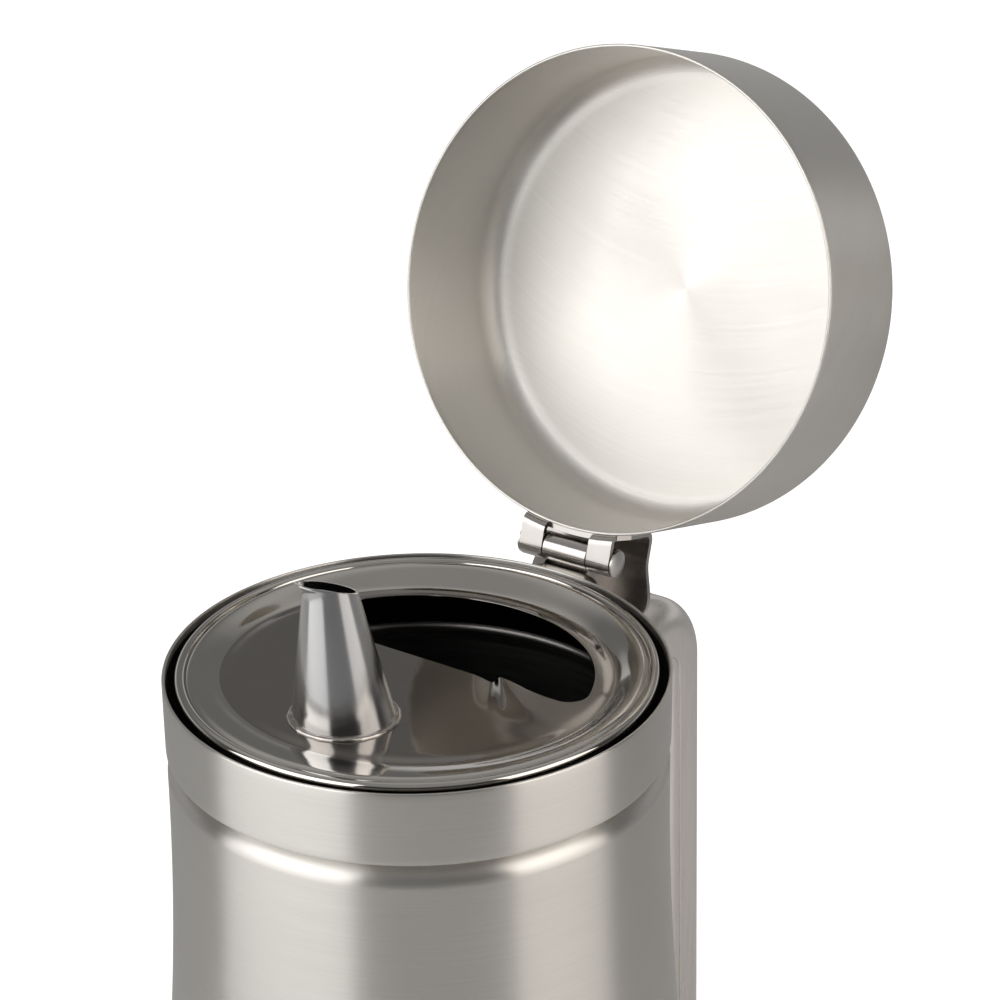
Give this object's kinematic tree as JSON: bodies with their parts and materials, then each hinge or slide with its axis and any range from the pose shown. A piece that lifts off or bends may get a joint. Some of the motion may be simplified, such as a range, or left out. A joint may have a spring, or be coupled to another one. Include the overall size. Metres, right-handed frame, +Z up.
{
  "type": "oil dispenser",
  "caption": "Waisted steel pot with a loop handle, a hinged cap lid with a thumb lever, and a loose pour plate that has a tapered spout and a D-shaped opening",
  "frame": {"origin": "the middle of the foot's plane, on the table, on the pot's axis", "axes": "X towards the handle and the hinge, Y along the hinge pin, Z up; the lid stands open as in the picture"},
  "size_m": [0.1869, 0.1326, 0.2846],
  "materials": {
    "pot_body": "brushed around the pot, satin",
    "base_panel": "plain rolled sheet, dull",
    "handle_shell": "satin brushed along the handle",
    "handle_cover": "satin brushed along the handle",
    "hinge_bracket": "polished sheet",
    "hinge_pin": "satin wire with formed heads",
    "lid_shell": "brushed around outside, spun satin inside",
    "lid_leaf": "polished sheet",
    "pour_plate": "polished, near mirror",
    "spout": "polished, near mirror"
  },
  "bodies": {
    "pot": {"pot_body": "pot_body", "base_panel": "base_panel", "handle_shell": "handle_shell", "handle_cover": "handle_cover", "hinge_bracket": "hinge_bracket", "hinge_pin": "hinge_pin"},
    "lid": {"lid_shell": "lid_shell", "lid_leaf": "lid_leaf"},
    "pourer": {"pour_plate": "pour_plate", "spout": "spout"}
  },
  "joints": [
    {"name": "lid_hinge", "type": "hinge", "parent": "pot", "child": "lid", "pos_m": [0.0584, 0, 0.17705], "axis": [0, 1, 0], "range_deg": [-106.5, 0]},
    {"name": "pourer_turn", "type": "hinge", "parent": "pot", "child": "pourer", "pos_m": [0, 0, 0.17], "axis": [0, 0, 1], "continuous": true}
  ]
}
